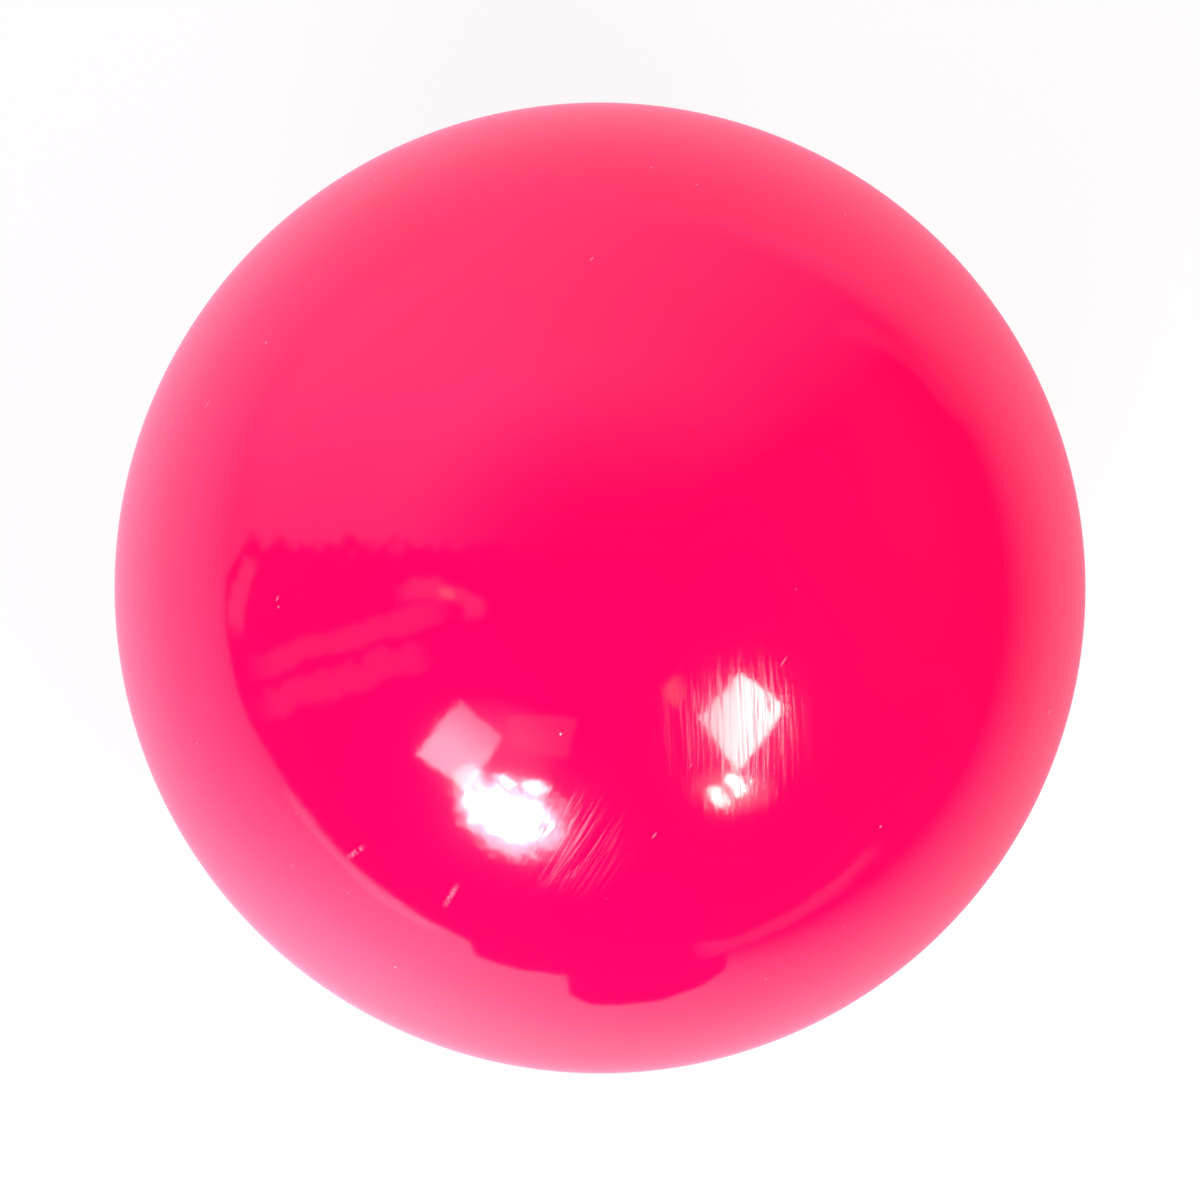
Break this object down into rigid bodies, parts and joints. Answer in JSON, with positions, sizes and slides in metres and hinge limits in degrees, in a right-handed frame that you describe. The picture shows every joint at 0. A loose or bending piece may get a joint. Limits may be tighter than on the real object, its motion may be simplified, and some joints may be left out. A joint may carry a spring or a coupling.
{
  "type": "street hockey ball",
  "caption": "Smooth round ball for street hockey: glossy plastic half covers, welded round the middle, over a cork core wound with twine.",
  "frame": {"origin": "centre of the ball", "axes": "+Z from the centre to the pole that faces the camera in the picture; the half covers meet at z = 0; the cork cups part across X"},
  "size_m": [0.073, 0.073, 0.073],
  "materials": {
    "cover_plastic": "buffed and lacquered hot pink PVC",
    "weld_plastic": "hot pink PVC bead ground flush",
    "cork": "pressed cork granules, matte",
    "twine": "plain twisted twine"
  },
  "bodies": {
    "root": {"cover_upper_half": "cover_plastic", "cover_lower_half": "cover_plastic", "seam_weld": "weld_plastic", "outer_winding": "twine", "cork_cup_right": "cork", "cork_cup_left": "cork", "inner_winding": "twine", "cork_centre": "cork"}
  },
  "joints": []
}
